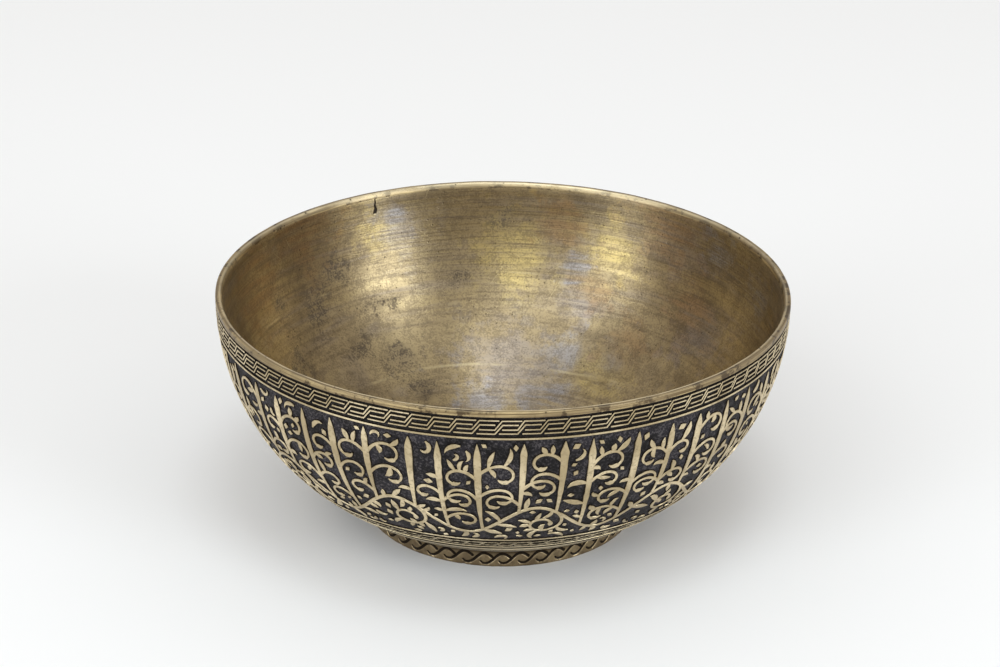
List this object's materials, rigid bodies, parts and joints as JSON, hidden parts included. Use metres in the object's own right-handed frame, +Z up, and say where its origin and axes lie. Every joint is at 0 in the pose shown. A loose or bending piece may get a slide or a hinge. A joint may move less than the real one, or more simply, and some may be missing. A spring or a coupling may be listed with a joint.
{
  "type": "brass bowl",
  "caption": "Round deep metal bowl with a plain lip and a smooth turned inside, black-filled ornament bands round its curved wall, and a low ring foot.",
  "frame": {"origin": "centre of the foot's underside, where the bowl meets the table", "axes": "+Z up along the bowl's axis, out of its mouth; -Y is the front, the side nearest the camera in the picture; +X is to the right there"},
  "size_m": [0.16, 0.16, 0.068],
  "materials": {
    "bowl_brass": "worn satin, darker inside",
    "foot_brass": "dull, browned",
    "solder": "dull, darkened",
    "black_fill": "matt, chiselled"
  },
  "bodies": {
    "root": {"bowl_body": "bowl_brass", "foot_ring": "foot_brass", "solder_seam": "solder", "upper_border_fill": "black_fill", "main_band_fill": "black_fill", "lower_border_fill": "black_fill"}
  },
  "joints": []
}
